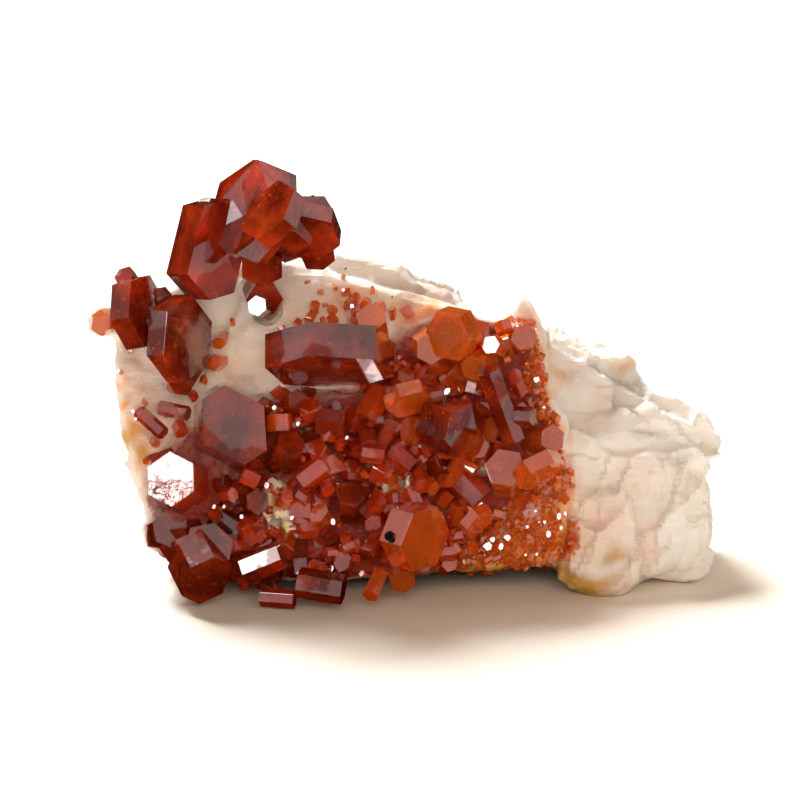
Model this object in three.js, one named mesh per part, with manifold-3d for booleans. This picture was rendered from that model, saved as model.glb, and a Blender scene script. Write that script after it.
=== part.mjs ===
// Vanadinite on matrix: a hand specimen of hexagonal vanadinite crystals on a piece of pale barite rock.
// Millimetres, +Z up. The crystals cover one face of the rock, which leans back from the upright.
// Everything is laid out on that face: x to the right, y up along the face, z out of the face.
import * as THREE from 'three';
import { ConvexGeometry } from 'three/addons/geometries/ConvexGeometry.js';
import { mergeVertices } from 'three/addons/utils/BufferGeometryUtils.js';
import Module from 'manifold-3d';

const wasm = await Module();
wasm.setup();

// Driving dimensions
const LEAN_BACK = 18;          // degrees that the crystal face leans back from the upright
const GAP = 0.3;               // clearance between a crystal and its socket
const CRUST_SEAT = 0.3;        // the druse crust starts this far in front of the rock face
const CRUST_SHOULDER = 0.6;    // share of its height at which a crust slab starts to slope in
const CRUST_TOP_SHARE = 0.9;   // size of a crust slab's top, as a share of its outline
const FLOOR_SPAN = 120;        // side of the block that cuts the rock off flat where it rests

const DEG = Math.PI / 180;
const tilt = (90 - LEAN_BACK) * DEG;

// ---------- solids ----------

function solidOf(geometry) {
  geometry.deleteAttribute('normal');
  geometry.deleteAttribute('uv');
  const merged = mergeVertices(geometry, 1e-5);
  return new wasm.Manifold(new wasm.Mesh({
    numProp: 3,
    vertProperties: new Float32Array(merged.attributes.position.array),
    triVerts: new Uint32Array(merged.index.array),
  }));
}

function geometryOf(solid) {
  const mesh = solid.getMesh();
  const geometry = new THREE.BufferGeometry();
  geometry.setAttribute('position', new THREE.BufferAttribute(mesh.vertProperties, 3));
  geometry.setIndex(new THREE.BufferAttribute(mesh.triVerts, 1));
  geometry.computeVertexNormals();
  return geometry;
}

function joined(solids) {
  return solids.reduce((whole, next) => whole.add(next));
}

// Cutting can leave loose crumbs: the rock and the crust keep only their largest body.
function largest(solid) {
  return solid.decompose().reduce((best, next) => (next.volume() > best.volume() ? next : best));
}

// A copy of an outline at height z, drawn in toward its middle to the given share of its size.
function ring(outline, share, z) {
  const middle = outline.reduce(([x, y], [u, v]) => [x + u / outline.length, y + v / outline.length], [0, 0]);
  return outline.map(([x, y]) => new THREE.Vector3(
    middle[0] + (x - middle[0]) * share,
    middle[1] + (y - middle[1]) * share,
    z,
  ));
}

// ---------- crystals ----------

// A vanadinite crystal is a hexagonal prism with flat ends. at is the middle of its free end, lean the angle
// between its axis and the face's normal, toward the compass heading of that lean (0 right, 90 up the face),
// spin turns it about its axis, across is its width over corners and length runs back from the free end.
// A crystal that grew unevenly has sides instead of across: how far each pair of its side faces stands
// from the axis.
function crystal({ at, lean = 0, toward = 0, spin = 0, across, sides, length }, grow = 0) {
  const reach = (sides ?? Array(3).fill(across / 2 * Math.cos(30 * DEG))).map((side) => side + grow);
  const tip = new THREE.Vector3(...at);
  const heading = new THREE.Vector3(Math.cos(toward * DEG), Math.sin(toward * DEG), 0);
  const outOfFace = new THREE.Vector3(0, 0, 1);
  const upright = Math.cos(lean * DEG);
  const leaning = Math.sin(lean * DEG);
  const axis = outOfFace.clone().multiplyScalar(upright).addScaledVector(heading, leaning);
  const ahead = heading.clone().multiplyScalar(upright).addScaledVector(outOfFace, -leaning);
  const beside = new THREE.Vector3().crossVectors(axis, ahead);
  const points = [];
  for (let side = 0; side < 6; side += 1) {
    // The corner between this side face and the next: out along this side's normal, then along the side.
    const turn = (spin - 30 + 60 * side) * DEG;
    const near = reach[side % 3];
    const next = reach[(side + 1) % 3];
    const along = (next - near * Math.cos(60 * DEG)) / Math.sin(60 * DEG);
    const u = Math.cos(turn) * near - Math.sin(turn) * along;
    const v = Math.sin(turn) * near + Math.cos(turn) * along;
    const rim = tip.clone().addScaledVector(ahead, u).addScaledVector(beside, v);
    points.push(rim.clone().addScaledVector(axis, grow));
    points.push(rim.addScaledVector(axis, -length - grow));
  }
  return solidOf(new ConvexGeometry(points));
}

// Several free ends lie in one plane direction, so that they catch the light together.
const MIRROR_TILT = { lean: 19, toward: 158 };

// Each entry is one node. Crystals that grew into one another share an entry and are joined.
const crystals = {
  crown_cluster: [
    { at: [-11.4, 31.0, 6.4], lean: 48, toward: 164, spin: 55, across: 8.8, length: 0.8 },
    { at: [-12.7, 31.4, 4.7], lean: 52, toward: 156, spin: 44, across: 8.0, length: 1.0 },
    { at: [-10.8, 30.4, 5.4], lean: 48, toward: 164, spin: 55, across: 4.8, length: 4.0 },
    { at: [-10.5, 31.1, 8.9], lean: 58, toward: 140, spin: 5, across: 5.7, length: 1.5 },
    { at: [-9.8, 30.4, 7.6], lean: 50, toward: 140, spin: 5, across: 3.4, length: 3.0 },
    { at: [-7.1, 28.8, 6.6], lean: 40, toward: -95, spin: 20, across: 4.8, length: 1.9 },
    { at: [-7.2, 29.6, 5.0], lean: 15, toward: -95, spin: 0, across: 3.4, length: 4.6 },
    { at: [-6.9, 30.7, 4.6], lean: 8, toward: 90, spin: 30, across: 3.6, length: 3.0 },
    { at: [-6.5, 27.2, 4.4], lean: 50, toward: -80, spin: 10, across: 2.8, length: 2.4 },
    { at: [-14.4, 28.0, 4.3], lean: 28, toward: -3, spin: 18, sides: [2.2, 3.4, 3.7], length: 3.8 },
    { at: [-11.0, 26.5, 4.2], lean: 35, toward: -90, spin: 0, across: 3.7, length: 5.0 },
    { at: [-8.9, 28.2, 4.0], lean: 25, toward: -60, spin: 20, across: 2.8, length: 4.0 },
    { at: [-11.4, 23.5, 3.6], ...MIRROR_TILT, spin: 0, across: 1.7, length: 3.0 },
    { at: [-10.8, 24.0, 2.9], lean: 25, toward: -70, spin: 10, across: 3.0, length: 4.2 },
  ],
  left_cluster: [
    { at: [-20.1, 23.1, 3.6], lean: 60, toward: 10, spin: 5, across: 6.2, length: 1.8 },
    { at: [-16.9, 20.9, 4.0], lean: 55, toward: 0, spin: 22, across: 7.1, length: 1.7 },
    { at: [-19.4, 23.0, 2.2], lean: 20, toward: 10, spin: 0, across: 4.4, length: 3.6 },
    { at: [-17.2, 20.8, 2.6], lean: 20, toward: 0, spin: 0, across: 4.6, length: 4.0 },
    { at: [-22.0, 26.0, 1.8], lean: 45, toward: 120, spin: 10, across: 1.8, length: 3.2 },
    { at: [-17.5, 17.2, 2.2], lean: 35, toward: -120, spin: 0, across: 2.1, length: 3.2 },
  ],
  far_left: [{ at: [-24.0, 22.2, 0.4], lean: 30, toward: 180, spin: 30, across: 2.1, length: 2.0 }],
  long_tablet: [{ at: [-5.6, 18.2, 5.0], lean: 75, toward: -90, spin: 16, across: 10.6, length: 2.8 }],
  tablet_back: [{ at: [-2.3, 22.6, 2.4], lean: 30, toward: 100, spin: 0, across: 2.6, length: 3.4 }],
  plate_crystal: [
    { at: [-13.2, 14.0, 4.0], lean: 12, toward: 30, spin: 3, sides: [2.5, 2.5, 3.1], length: 4.8 },
  ],
  mirror_hex: [{ at: [-18.3, 9.7, 2.9], ...MIRROR_TILT, spin: 55, across: 4.5, length: 3.8 }],
  corner_cluster: [
    { at: [-15.4, 1.6, 3.6], lean: 48, toward: -62, spin: 25, sides: [2.2, 1.8, 2.2], length: 3.4 },
    { at: [-15.2, 4.4, 3.2], lean: 30, toward: 60, spin: 15, across: 4.2, length: 4.2 },
    { at: [-18.3, 5.7, 2.0], lean: 18, toward: 30, spin: 10, across: 3.2, length: 3.0 },
    { at: [-17.9, 4.3, 1.8], lean: 30, toward: -140, spin: 20, across: 3.2, length: 3.2 },
  ],
  mirror_bar: [{ at: [-9.4, 3.7, 3.2], lean: 78, toward: 22, spin: 17, across: 2.4, length: 3.4 }],
  bottom_rod: [{ at: [-8.4, 0.1, 2.8], lean: 76, toward: -4, spin: 30, across: 1.5, length: 2.8 }],
  bottom_bar: [{ at: [-4.5, 0.9, 3.5], lean: 80, toward: -9, spin: 30, across: 2.5, length: 3.7 }],
  bottom_prism: [{ at: [-2.4, 0.4, 2.8], lean: 52, toward: -115, spin: 0, across: 1.4, length: 2.6 }],
  bottom_hex: [{ at: [0.2, 1.5, 2.0], lean: 35, toward: -80, spin: 0, across: 2.3, length: 2.6 }],
  spot_crystal: [{ at: [2.0, 4.9, 3.8], lean: 48, toward: -16, spin: 22, across: 5.6, length: 2.4 }],
  gem_hex: [{ at: [5.2, 13.6, 4.0], lean: 45, toward: -15, spin: 30, across: 4.6, length: 3.4 }],
  right_pair: [
    { at: [8.4, 10.6, 3.0], lean: 20, toward: 100, spin: 10, across: 3.4, length: 3.4 },
    { at: [11.3, 9.9, 3.0], lean: 72, toward: -60, spin: 18, across: 4.3, length: 1.3 },
  ],
  small_tablet: [{ at: [6.4, 6.1, 2.4], lean: 65, toward: -45, spin: 45, across: 3.0, length: 0.9 }],
  lilac_tablet: [{ at: [0.8, 15.6, 3.0], lean: 62, toward: -70, spin: 15, across: 3.9, length: 1.2 }],
  mid_hex: [{ at: [-3.9, 8.5, 2.8], lean: 32, toward: 92, spin: 8, across: 2.4, length: 3.0 }],
  mid_block: [{ at: [-8.7, 12.6, 3.4], lean: 35, toward: 60, spin: 20, across: 2.4, length: 3.6 }],
  glow_pair: [
    { at: [3.8, 21.1, 3.6], lean: 40, toward: -158, spin: 33, across: 4.4, length: 1.7 },
    { at: [4.2, 21.2, 2.8], lean: 10, toward: -158, spin: 0, across: 2.9, length: 3.8 },
    { at: [2.5, 20.1, 2.2], lean: 18, toward: -40, spin: 12, across: 2.7, length: 3.0 },
  ],
  cap_pair: [
    { at: [7.2, 20.4, 3.5], ...MIRROR_TILT, spin: 25, across: 1.6, length: 2.4 },
    { at: [5.8, 18.5, 3.0], lean: 30, toward: -140, spin: 0, across: 2.2, length: 3.0 },
  ],
  rod_pair: [
    { at: [7.0, 18.4, 4.4], lean: 68, toward: 110, spin: 0, across: 2.1, length: 6.4 },
    { at: [10.6, 14.7, 3.4], lean: 65, toward: 0, spin: 30, across: 1.6, length: 2.4 },
  ],
  rim_block: [{ at: [12.2, 12.9, 1.8], lean: 35, toward: 5, spin: 20, across: 2.4, length: 2.6 }],
  rim_top: [{ at: [9.9, 21.0, 2.2], lean: 12, toward: 70, spin: 0, across: 2.2, length: 2.8 }],
  left_rod: [{ at: [-18.9, 13.3, 2.0], lean: 62, toward: -42, spin: 30, across: 1.2, length: 3.0 }],
  left_bar: [{ at: [-16.9, 14.9, 2.0], lean: 66, toward: -12, spin: 30, across: 1.2, length: 2.6 }],
};

// ---------- rock ----------

// A lump of rock is a hull, full size from rim behind its front to halfway back and smaller at its two ends.
function lump({ outline, front, back, rim = 1.2, frontShare = 0.9, backShare = 0.75 }) {
  return solidOf(new ConvexGeometry([
    ...ring(outline, frontShare, front),
    ...ring(outline, 1, front - rim),
    ...ring(outline, 1, (front + back) / 2),
    ...ring(outline, backShare, back),
  ]));
}

const lumps = [
  // the plate that carries the crystals
  {
    outline: [[-23, 21.5], [-22.4, 14], [-20.8, 8], [-19.6, 4], [-15, 2.2], [-8, 1.6], [0, 2], [8, 2.4],
      [13, 3], [14.2, 9], [13, 15], [11, 21.5], [4, 23.6], [-2, 25], [-8, 27], [-13, 27.4], [-19, 25]],
    front: 0, back: -7, rim: 0.8, frontShare: 0.97, backShare: 0.85,
  },
  // the foot under the left corner
  { outline: [[-19, 8], [-17, 2.4], [-10, 1.8], [-4, 3], [-4, 12], [-16, 12]], front: -1, back: -11 },
  // bare swelling between the crown and the long tablet
  { outline: [[-16, 15], [-9, 17], [-4, 22], [-6, 26], [-11, 26], [-15, 20]], front: 1.6, back: -3, rim: 1,
    frontShare: 0.5 },
  // ridge behind the top edge
  { outline: [[-9, 20], [-9, 27.4], [-5.4, 28.2], [-2.4, 27.4], [0.2, 26.8], [1.8, 25.4], [2, 19]],
    front: -1.8, back: -9, frontShare: 0.8 },
  { outline: [[-3, 19], [-1, 25.6], [1.8, 25.6], [3.8, 24.8], [5, 23.2], [6, 19]], front: -3, back: -10,
    frontShare: 0.8 },
  // thin blade standing at the plate's right edge
  { outline: [[8, 16], [8.6, 22.6], [9.8, 24.3], [11.2, 22.6], [12.4, 16]], front: -1.4, back: -3.4,
    rim: 0.3 },
  // bare mass on the right: upper lobe, shoulder, middle and lower plate
  { outline: [[11, 12], [11.6, 22.2], [13, 21.4], [15, 20.2], [17, 19], [18, 12]], front: -2.4, back: -12,
    frontShare: 0.75 },
  { outline: [[13, 10], [14, 20.4], [17, 20.1], [18.7, 18.8], [20.2, 16.6], [21, 10]], front: -3, back: -13,
    frontShare: 0.7 },
  { outline: [[17, 8], [17.4, 15], [20, 16.4], [22.4, 15.6], [24.7, 14.4], [25.3, 12.6], [24.9, 11.2],
    [23.6, 9]], front: -2.4, back: -12, frontShare: 0.7 },
  { outline: [[11, 3], [12, 14], [18, 15], [23, 11], [24.2, 5], [22, 2.4], [16, 1.4]], front: -0.8, back: -13,
    frontShare: 0.75 },
  { outline: [[19, 2], [19, 10], [23.8, 10.6], [24.7, 8.8], [25, 6], [24.7, 3.4], [24, 1.8], [21.6, 1.5]],
    front: -2.2, back: -12, frontShare: 0.75 },
  { outline: [[12.6, 1.6], [14, 9], [18, 9.4], [19.8, 5], [19.4, 1.4], [17.6, 0.1], [15.6, 0]], front: 0.2,
    back: -9, frontShare: 0.8 },
  // the heel: the thick back of the rock, which comes down to the surface behind the hollow under the plate
  { outline: [[-13, 3], [-15, 12], [-11, 21], [2, 22], [14, 18], [19, 12], [20, 4], [17, 2.6], [0, 2.6]],
    front: -6, back: -17, backShare: 0.7 },
];

// The surface that the specimen lies on, seen in the face's frame.
function floorBlock() {
  const block = new THREE.BoxGeometry(FLOOR_SPAN, FLOOR_SPAN, FLOOR_SPAN);
  block.translate(0, 0, -FLOOR_SPAN / 2);
  block.rotateX(-tilt);
  return solidOf(block);
}

// ---------- druse crust ----------

// The crust of small crystals grew as one: low slabs that reach its tips, joined.
const crust = [
  { outline: [[-20.4, 9], [-20.6, 6], [-19.6, 3.4], [-16, 1.6], [-10, 1.2], [-8, 8], [-12, 14], [-18.5, 13]],
    top: 1.7 },
  { outline: [[-14, 4], [-10, 1.0], [-2, 1.2], [1, 2.2], [2.4, 8], [0, 14], [-4, 18.6], [-11, 15.4]],
    top: 2.0 },
  { outline: [[0, 2.4], [6, 2.8], [12.6, 3.6], [13.4, 9], [11, 12.4], [0.6, 12.4]], top: 1.5 },
  { outline: [[-5, 13], [3.4, 11.4], [12, 11.2], [12, 14], [10.8, 22], [4, 22], [-0.8, 20.4], [-2.6, 19.2]],
    top: 1.8 },
];

function crustSlab({ outline, top }) {
  return solidOf(new ConvexGeometry([
    ...ring(outline, 1, CRUST_SEAT),
    ...ring(outline, 1, top * CRUST_SHOULDER),
    ...ring(outline, CRUST_TOP_SHARE, top),
  ]));
}

// ---------- assembly ----------

const redCrystal = () => new THREE.MeshStandardMaterial({ color: 0x8a1c12, roughness: 0.15, metalness: 0 });
const orangeDruse = () => new THREE.MeshStandardMaterial({ color: 0xb8401c, roughness: 0.3, metalness: 0 });
const paleRock = () => new THREE.MeshStandardMaterial({ color: 0xe9dccb, roughness: 0.8, metalness: 0 });

const face = new THREE.Group();
face.rotation.x = tilt;

function place(name, solid, material) {
  const mesh = new THREE.Mesh(geometryOf(solid), material);
  mesh.name = name;
  face.add(mesh);
}

const sockets = joined(Object.values(crystals).flat().map((entry) => crystal(entry, GAP)));
const floor = floorBlock();

for (const [name, grown] of Object.entries(crystals)) {
  place(name, joined(grown.map((entry) => crystal(entry))), redCrystal());
}
place('druse_crust', largest(joined(crust.map(crustSlab)).subtract(sockets).subtract(floor)), orangeDruse());
const rock = largest(joined(lumps.map(lump)).subtract(floor).subtract(sockets));
place('matrix', rock, paleRock());

// The origin is the middle of the bounding box's bottom, with the rock's flat base on the ground.
const specimen = new THREE.Group();
specimen.add(face);
specimen.updateMatrixWorld(true);
const box = new THREE.Box3().setFromObject(specimen, true);
face.position.set(-(box.min.x + box.max.x) / 2, -(box.min.y + box.max.y) / 2, -box.min.z);

export default specimen;
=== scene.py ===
"""Vanadinite on matrix: the looks of a hand specimen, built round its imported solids.

The crystals grew on one face of the rock. That face leans back from the upright, and most places here are
given on it, in millimetres: x to the right, y up along the face, z out of the face.
"""

import math
import random

import bmesh
import bpy
import numpy as np
from bpy.props import FloatProperty, FloatVectorProperty, IntProperty, PointerProperty
from mathutils import Matrix, Vector, noise
from mathutils.bvhtree import BVHTree


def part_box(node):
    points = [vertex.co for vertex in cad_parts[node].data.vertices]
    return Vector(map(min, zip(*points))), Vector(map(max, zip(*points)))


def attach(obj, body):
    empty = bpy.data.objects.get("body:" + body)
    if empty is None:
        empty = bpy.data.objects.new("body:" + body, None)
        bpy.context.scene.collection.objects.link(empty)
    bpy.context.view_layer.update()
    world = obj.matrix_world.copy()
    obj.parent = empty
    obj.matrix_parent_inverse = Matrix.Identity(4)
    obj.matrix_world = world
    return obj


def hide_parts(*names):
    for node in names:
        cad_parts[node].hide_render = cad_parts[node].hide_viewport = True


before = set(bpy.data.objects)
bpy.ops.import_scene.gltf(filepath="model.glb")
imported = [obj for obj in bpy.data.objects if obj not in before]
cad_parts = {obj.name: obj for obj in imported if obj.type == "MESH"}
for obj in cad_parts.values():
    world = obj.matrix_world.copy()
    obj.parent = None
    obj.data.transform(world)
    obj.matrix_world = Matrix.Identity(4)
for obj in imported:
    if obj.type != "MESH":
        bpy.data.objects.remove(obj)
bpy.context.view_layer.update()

bl_info = {
    "name": "Vanadinite on Matrix",
    "version": (1, 0, 0),
    "blender": (4, 5, 0),
    "location": "3D View > Sidebar > Vanadinite",
    "description": "Grows red hexagonal crystals, their druse and the barite rock round the packed solids",
    "category": "Object",
}

MM = 0.001
# how far the crystal face leans back from the upright, and where its origin is in the frame, in metres
LEAN_BACK = math.radians(18.0)
FACE_ORIGIN = (-0.00026, -0.00884, 0.0)
FACE = Matrix.Translation(FACE_ORIGIN) @ Matrix.Rotation(math.pi / 2 - LEAN_BACK, 4, "X")
FACE_TURN = FACE.to_3x3()

# the large crystals, by how much light comes through them: the deep ones also absorb more, and the
# body colour of each group is painted from deep red to orange, as painted light shining through them
DEEP_CRYSTALS = (
    "crown_cluster", "left_cluster", "long_tablet", "plate_crystal", "corner_cluster", "mirror_bar",
    "mid_block", "left_rod", "left_bar", "bottom_rod", "bottom_bar", "mid_hex", "rod_pair",
    "gem_hex",
)
BRIGHT_CRYSTALS = (
    "spot_crystal", "lilac_tablet", "right_pair", "bottom_hex", "bottom_prism", "small_tablet",
    "rim_block",
)
GLOWING_CRYSTALS = ("far_left", "tablet_back", "glow_pair", "cap_pair", "rim_top")
# the one whose mirroring face is partly etched
ETCHED_CRYSTALS = ("mirror_hex",)
LARGE_CRYSTALS = (*DEEP_CRYSTALS, *BRIGHT_CRYSTALS, *GLOWING_CRYSTALS, *ETCHED_CRYSTALS)


# ---------- places on the face ----------


def on_face(x, y, z=0.0):
    """A place given on the crystal face, as a point of the frame in metres."""
    return FACE @ (Vector((x, y, z)) * MM)


def face_places(points):
    """Points of the frame, as an array of places on the crystal face in millimetres."""
    turn = np.array(FACE_TURN)
    return (np.asarray(points) - np.array(FACE_ORIGIN)) @ turn / MM


def leaning(lean, toward):
    """The direction that leans that far from the face's normal, toward that heading, in degrees."""
    lean, toward = math.radians(lean), math.radians(toward)
    return FACE_TURN @ Vector((
        math.sin(lean) * math.cos(toward),
        math.sin(lean) * math.sin(toward),
        math.cos(lean),
    ))


def ramped(value, start, end):
    """0 before start, 1 after end, and even in between."""
    return min(1.0, max(0.0, (value - start) / (end - start)))


def inside(outline, x, y):
    """True if the place lies inside the outline."""
    found = False
    for (ax, ay), (bx, by) in zip(outline, outline[1:] + outline[:1]):
        if (ay > y) != (by > y) and x < (bx - ax) * (y - ay) / (by - ay) + ax:
            found = not found
    return found


class Ground:
    """What a small crystal can grow on: finds how far a surface stands out of the face."""

    # the search starts this far out of the face, in millimetres, and goes this far in, in metres
    ABOVE = 14.0
    SEARCH = 0.06

    def __init__(self, *objects):
        points, faces = [], []
        for obj in objects:
            start = len(points)
            points.extend(v.co.copy() for v in obj.data.vertices)
            faces.extend(tuple(start + corner for corner in p.vertices) for p in obj.data.polygons)
        self.tree = BVHTree.FromPolygons(points, faces)

    def at(self, x, y):
        """The point of the surface in front of a place, or None."""
        return self.tree.ray_cast(on_face(x, y, self.ABOVE), -(FACE_TURN.col[2]), self.SEARCH)[0]


# ---------- meshes ----------


def new_piece(name, mesh, material, nodes=()):
    """Puts a mesh in the scene as a piece of the specimen."""
    piece = bpy.data.objects.new(name, mesh)
    bpy.context.scene.collection.objects.link(piece)
    mesh.materials.clear()
    mesh.materials.append(material)
    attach(piece, "root")
    if nodes:
        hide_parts(*nodes)
    return piece


def mesh_from(name, points, faces):
    """A mesh from a list of points and a list of faces."""
    mesh = bpy.data.meshes.new(name)
    mesh.from_pydata([tuple(p) for p in points], [], faces)
    mesh.update()
    return mesh


def welded(node):
    """A CAD node's mesh as a bmesh, with its triangles welded and its flat faces whole."""
    weld, flat = 1e-5, math.radians(0.5)
    bm = bmesh.new()
    bm.from_mesh(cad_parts[node].data)
    bmesh.ops.remove_doubles(bm, verts=bm.verts, dist=weld)
    bmesh.ops.dissolve_limit(bm, angle_limit=flat, verts=bm.verts, edges=bm.edges)
    return bm


def cut_away(bm, place, outward):
    """Cuts off what lies beyond a plane, and closes the cut."""
    cut = bmesh.ops.bisect_plane(
        bm, geom=bm.verts[:] + bm.edges[:] + bm.faces[:], plane_co=place, plane_no=outward, clear_outer=True,
    )
    rim = [e for e in cut["geom_cut"] if isinstance(e, bmesh.types.BMEdge)]
    if rim:
        bmesh.ops.holes_fill(bm, edges=rim)


class Prisms:
    """Collects small hexagonal prisms and joins them in one mesh."""

    SIDES = 6
    RINGS = 3
    # how much of its radius a prism loses at its worn free end
    SHOULDER = 0.05

    def __init__(self):
        self.points = []
        self.faces = []
        self.tones = []

    def add(self, tip, axis, spin, across, length, tone=0.5, squeeze=1.0):
        """A prism whose free end is at tip, left out where it would reach the ground.

        Squeeze narrows it one way, as an uneven crystal grows.
        """
        if min(tip.z, (tip - axis * length).z) < across / 2:
            return
        side = axis.orthogonal().normalized()
        side.rotate(Matrix.Rotation(math.radians(spin), 3, axis))
        other = axis.cross(side)
        radius = across / 2
        rings = (
            (radius, -length),
            (radius, -radius * self.SHOULDER),
            (radius * (1 - self.SHOULDER), 0.0),
        )
        start = len(self.points)
        for reach, along in rings:
            for corner in range(self.SIDES):
                turn = math.radians(60 * corner)
                self.points.append(
                    tip + axis * along
                    + side * (math.cos(turn) * reach)
                    + other * (math.sin(turn) * reach * squeeze)
                )
        for low in range(start, start + self.SIDES * (self.RINGS - 1), self.SIDES):
            high = low + self.SIDES
            for corner in range(self.SIDES):
                after = (corner + 1) % self.SIDES
                self.faces.append((low + corner, low + after, high + after, high + corner))
        last = start + self.SIDES * (self.RINGS - 1)
        self.faces.append(tuple(start + corner for corner in reversed(range(self.SIDES))))
        self.faces.append(tuple(last + corner for corner in range(self.SIDES)))
        self.tones.extend([tone] * self.SIDES * self.RINGS)

    def mesh(self, name):
        """The joined mesh, with each crystal's tone as an attribute."""
        mesh = mesh_from(name, self.points, self.faces)
        tone = mesh.attributes.new("tone", "FLOAT", "POINT")
        tone.data.foreach_set("value", np.array(self.tones, np.float32))
        return mesh


# ---------- shader wiring ----------


class Wire:
    """A socket of a material, with maths on it written as an expression."""

    def __init__(self, paint, socket):
        self.paint = paint
        self.socket = socket

    def _maths(self, operation, first, second):
        return self.paint.node("ShaderNodeMath", {"operation": operation}, {0: first, 1: second})

    def __add__(self, other):
        return self._maths("ADD", self, other)

    def __radd__(self, other):
        return self._maths("ADD", other, self)

    def __sub__(self, other):
        return self._maths("SUBTRACT", self, other)

    def __rsub__(self, other):
        return self._maths("SUBTRACT", other, self)

    def __mul__(self, other):
        return self._maths("MULTIPLY", self, other)

    def __rmul__(self, other):
        return self._maths("MULTIPLY", other, self)


class Paint:
    """Wires the nodes of one material or of the world."""

    def __init__(self, owner):
        owner.use_nodes = True
        self.tree = owner.node_tree
        self.tree.nodes.clear()

    def node(self, kind, settings=None, sockets=None, output=0):
        """Adds a node: its settings first, then values or links for its sockets, and gives one output."""
        made = self.tree.nodes.new(kind)
        for key, value in (settings or {}).items():
            if key == "stops":
                ramp = made.color_ramp
                while len(ramp.elements) > 1:
                    ramp.elements.remove(ramp.elements[-1])
                for index, (position, shade) in enumerate(value):
                    element = ramp.elements[0] if index == 0 else ramp.elements.new(position)
                    element.position = position
                    element.color = (*(shade if isinstance(shade, tuple) else (shade,) * 3), 1.0)
            else:
                setattr(made, key, value)
        for key, value in (sockets or {}).items():
            if isinstance(value, Wire):
                self.tree.links.new(value.socket, made.inputs[key])
            else:
                made.inputs[key].default_value = value
        return Wire(self, made.outputs[output]) if made.outputs else None

    def blend(self, share, first, second, way="MIX"):
        """A colour between two colours."""
        def full(colour):
            return colour if isinstance(colour, Wire) else (*colour, 1.0)
        return self.node(
            "ShaderNodeMix",
            {"data_type": "RGBA", "blend_type": way},
            {0: share, 6: full(first), 7: full(second)},
            output=2,
        )

    def ramp(self, value, *stops):
        """A value or colour read off a ramp."""
        return self.node("ShaderNodeValToRGB", {"stops": stops}, {"Fac": value})

    def grain(self, place, size, detail=3.0, roughness=0.5):
        """A noise whose patches are about size metres."""
        return self.node("ShaderNodeTexNoise", {}, {
            "Vector": place, "Scale": 1.0 / size, "Detail": detail, "Roughness": roughness,
        })

    def cells(self, place, count):
        """How far a place is from the middle of its cell, with about that many cells in a row of a metre."""
        return self.node("ShaderNodeTexVoronoi", {"feature": "F1"}, {"Vector": place, "Scale": count})

    def attribute(self, name):
        """A number painted on the mesh."""
        return self.node("ShaderNodeAttribute", {"attribute_name": name}, output="Fac")


def etching(paint, place, top):
    """The relief of a face that is wavy up to that height above the ground, in millimetres."""
    wave_size, wave_height = 0.0009, 9.0
    border_size, border_reach, fade = 0.0016, 0.0024, 0.00063
    up = paint.node("ShaderNodeSeparateXYZ", {}, {"Vector": place}, output="Z")
    border = (paint.grain(place, border_size, detail=4.0) - 0.5) * border_reach
    share = paint.ramp((up + border - top * MM) * (1.0 / fade), (0.0, 1.0), (1.0, 0.0))
    return paint.grain(place, wave_size, detail=2.0) * share * wave_height


def vanadinite(name, looks, glow=None, murk=1.0, clear=1.0, etched=None):
    """Glossy crystal, see-through where thin: glow is how far it turns from deep red to orange, a painted
    stand-in for the light that shines through it.

    Without a glow, each crystal's own tone is read off the mesh. Murk is how much more than the usual it
    absorbs, and clear is its share of the usual clarity. Etched is the height that its face is etched up
    to, in millimetres.
    """
    patchiness = 0.5 if glow is None else 1.3
    vein_share, spark_share = 0.45, 0.55
    pit_roughness, speck_roughness = 0.16, 0.03
    pit_height, vein_height, speck_height = -0.6, 0.5, 0.12
    material = bpy.data.materials.new(name)
    paint = Paint(material)
    place = paint.node("ShaderNodeTexCoord", output="Object")
    clouds = paint.grain(place, looks.cloud_size, detail=4.0)
    veins = paint.grain(place, looks.cloud_size * 0.3, detail=6.0, roughness=0.65)
    warmth = (paint.attribute("tone") if glow is None else glow) + (clouds - 0.5) * patchiness
    body = paint.ramp(
        warmth,
        (0.0, tuple(looks.deep_red)),
        (0.45, tuple(looks.bright_red)),
        (1.0, tuple(looks.orange)),
    )
    body = paint.blend(paint.ramp(veins, (0.55, 0.0), (0.75, 1.0)) * vein_share, body, tuple(looks.vein))
    sparks = paint.ramp(paint.grain(place, looks.pit_size * 0.3, detail=3.0), (0.63, 0.0), (0.69, 1.0))
    body = paint.blend(sparks * spark_share, body, tuple(looks.orange))
    pits = paint.ramp(paint.grain(place, looks.pit_size, detail=5.0, roughness=0.6), (0.58, 0.0), (0.66, 1.0))
    specks = paint.grain(place, looks.pit_size * 0.35, detail=2.0)
    rough = looks.gloss + pits * pit_roughness + specks * speck_roughness
    height = pits * pit_height + veins * vein_height + specks * speck_height
    if etched:
        height = height + etching(paint, place, etched)
    bump = paint.node("ShaderNodeBump", {}, {
        "Height": height, "Strength": looks.relief, "Distance": 0.00005,
    })
    terraces = paint.ramp(
        paint.grain(place, looks.terrace_size, detail=3.0, roughness=0.45), (0.41, 0.0), (0.44, 1.0),
    )
    # the coat mirrors flat and hides the relief, so an etched crystal has none and mirrors by itself
    shader = paint.node("ShaderNodeBsdfPrincipled", {}, {
        "Base Color": body,
        "Roughness": rough,
        "IOR": looks.sheen if etched else looks.ior,
        "Transmission Weight": looks.clarity * clear,
        "Coat Weight": 0.0 if etched else terraces,
        "Coat IOR": looks.sheen,
        "Coat Roughness": looks.gloss,
        "Normal": bump,
    })
    volume = paint.node("ShaderNodeVolumeAbsorption", {}, {
        "Color": (*looks.depth_colour, 1.0), "Density": looks.depth * murk,
    })
    paint.node("ShaderNodeOutputMaterial", {}, {"Surface": shader, "Volume": volume})
    return material


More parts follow.
